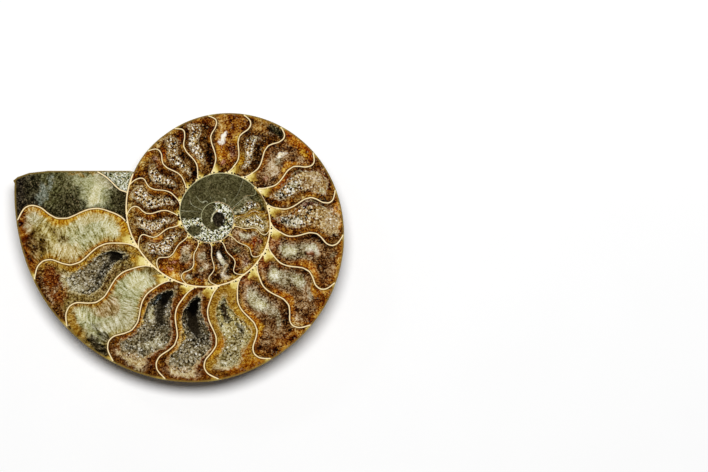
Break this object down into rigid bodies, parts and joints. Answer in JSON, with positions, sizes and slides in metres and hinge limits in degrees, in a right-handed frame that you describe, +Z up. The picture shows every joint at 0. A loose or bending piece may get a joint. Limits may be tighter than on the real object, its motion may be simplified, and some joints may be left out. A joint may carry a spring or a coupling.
{
  "type": "ammonite fossil half",
  "caption": "Half of a sawn and polished ammonite fossil, with chambers lined with crystals, lying on its natural back.",
  "frame": {"origin": "middle of the bounding box in plan, on the surface that the natural back rests on", "axes": "+Z up, out of the sawn face; +X along the longest side, from the shell's mouth end towards its older whorls; +Y towards the straight cut across the mouth"},
  "size_m": [0.11, 0.0894, 0.0161],
  "materials": {
    "ammonite_half": "polished face, satin back",
    "crystal": "rough, sparkling crystal faces"
  },
  "bodies": {
    "root": {"ammonite_half": "ammonite_half", "crystal_crust_02": "crystal", "crystal_crust_04": "crystal", "crystal_crust_05": "crystal", "crystal_crust_06": "crystal", "crystal_crust_10": "crystal", "crystal_crust_11": "crystal", "crystal_crust_13": "crystal", "crystal_crust_15": "crystal", "crystal_crust_16": "crystal", "crystal_crust_17": "crystal", "crystal_crust_18": "crystal", "crystal_crust_19": "crystal", "crystal_crust_20": "crystal", "crystal_crust_26": "crystal", "crystal_crust_27": "crystal"}
  },
  "joints": []
}
